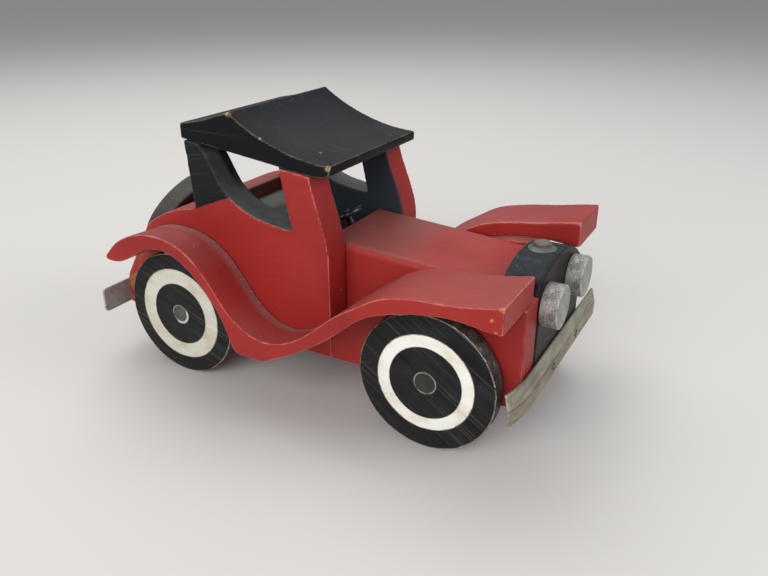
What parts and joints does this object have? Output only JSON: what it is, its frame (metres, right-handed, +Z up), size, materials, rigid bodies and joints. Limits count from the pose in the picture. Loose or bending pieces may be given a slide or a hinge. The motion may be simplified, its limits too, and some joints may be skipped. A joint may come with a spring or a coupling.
{
  "type": "wooden toy car",
  "caption": "Hand-made painted wooden toy roadster with free-rolling disc wheels, wavy board fenders, hard roof and a spare wheel on the tail.",
  "frame": {"origin": "on the floor under the middle of the overall box of the car at rest, in its plane of symmetry", "axes": "+X points to the front of the car, +Y to the driver's left, +Z up"},
  "size_m": [0.2814, 0.158, 0.1585],
  "materials": {
    "red_paint": "red paint on wood, satin, worn pale along edges",
    "black_paint": "black paint on wood, satin, grain showing",
    "grey_paint": "dusty grey paint on wood",
    "silver_paint": "silver paint on wood, mottled",
    "bare_wood": "aged bare dowel",
    "strip_metal": "dull, tarnished strip",
    "nail_steel": "dull steel",
    "dull_brass": "tarnished"
  },
  "bodies": {
    "body": {"hood_block": "red_paint", "floor_board": "black_paint", "rear_block": "red_paint", "seat_box": "black_paint", "seat_cushion": "grey_paint", "left_side_panel": "red_paint", "right_side_panel": "red_paint", "left_front_board": "red_paint", "right_front_board": "red_paint", "left_fender": "red_paint", "right_fender": "red_paint", "roof": "black_paint", "roof_brads": "nail_steel", "radiator_block": "black_paint", "radiator_cap_washer": "nail_steel", "radiator_cap_screw": "dull_brass", "left_headlight": "silver_paint", "right_headlight": "silver_paint", "left_headlight_peg": "bare_wood", "right_headlight_peg": "bare_wood", "front_bumper": "strip_metal", "front_bumper_nails": "nail_steel", "rear_bumper": "strip_metal", "rear_bumper_nails": "nail_steel", "spare_wheel": "black_paint", "spare_wheel_peg": "bare_wood", "steering_post": "nail_steel", "steering_screw": "nail_steel"},
    "front_wheelset": {"front_axle": "bare_wood", "left_front_wheel": "black_paint", "right_front_wheel": "black_paint"},
    "rear_wheelset": {"rear_axle": "bare_wood", "left_rear_wheel": "black_paint", "right_rear_wheel": "black_paint"},
    "steering": {"steering_wheel": "black_paint"}
  },
  "joints": [
    {"name": "front_wheels_roll", "type": "hinge", "parent": "body", "child": "front_wheelset", "pos_m": [0.08568, 0, 0.038], "axis": [0, 1, 0], "continuous": true},
    {"name": "rear_wheels_roll", "type": "hinge", "parent": "body", "child": "rear_wheelset", "pos_m": [-0.07632, 0, 0.038], "axis": [0, 1, 0], "continuous": true},
    {"name": "steering_turns", "type": "hinge", "parent": "body", "child": "steering", "pos_m": [0.00108, 0.0055, 0.0934], "axis": [-0.5, 0, 0.866], "continuous": true}
  ]
}
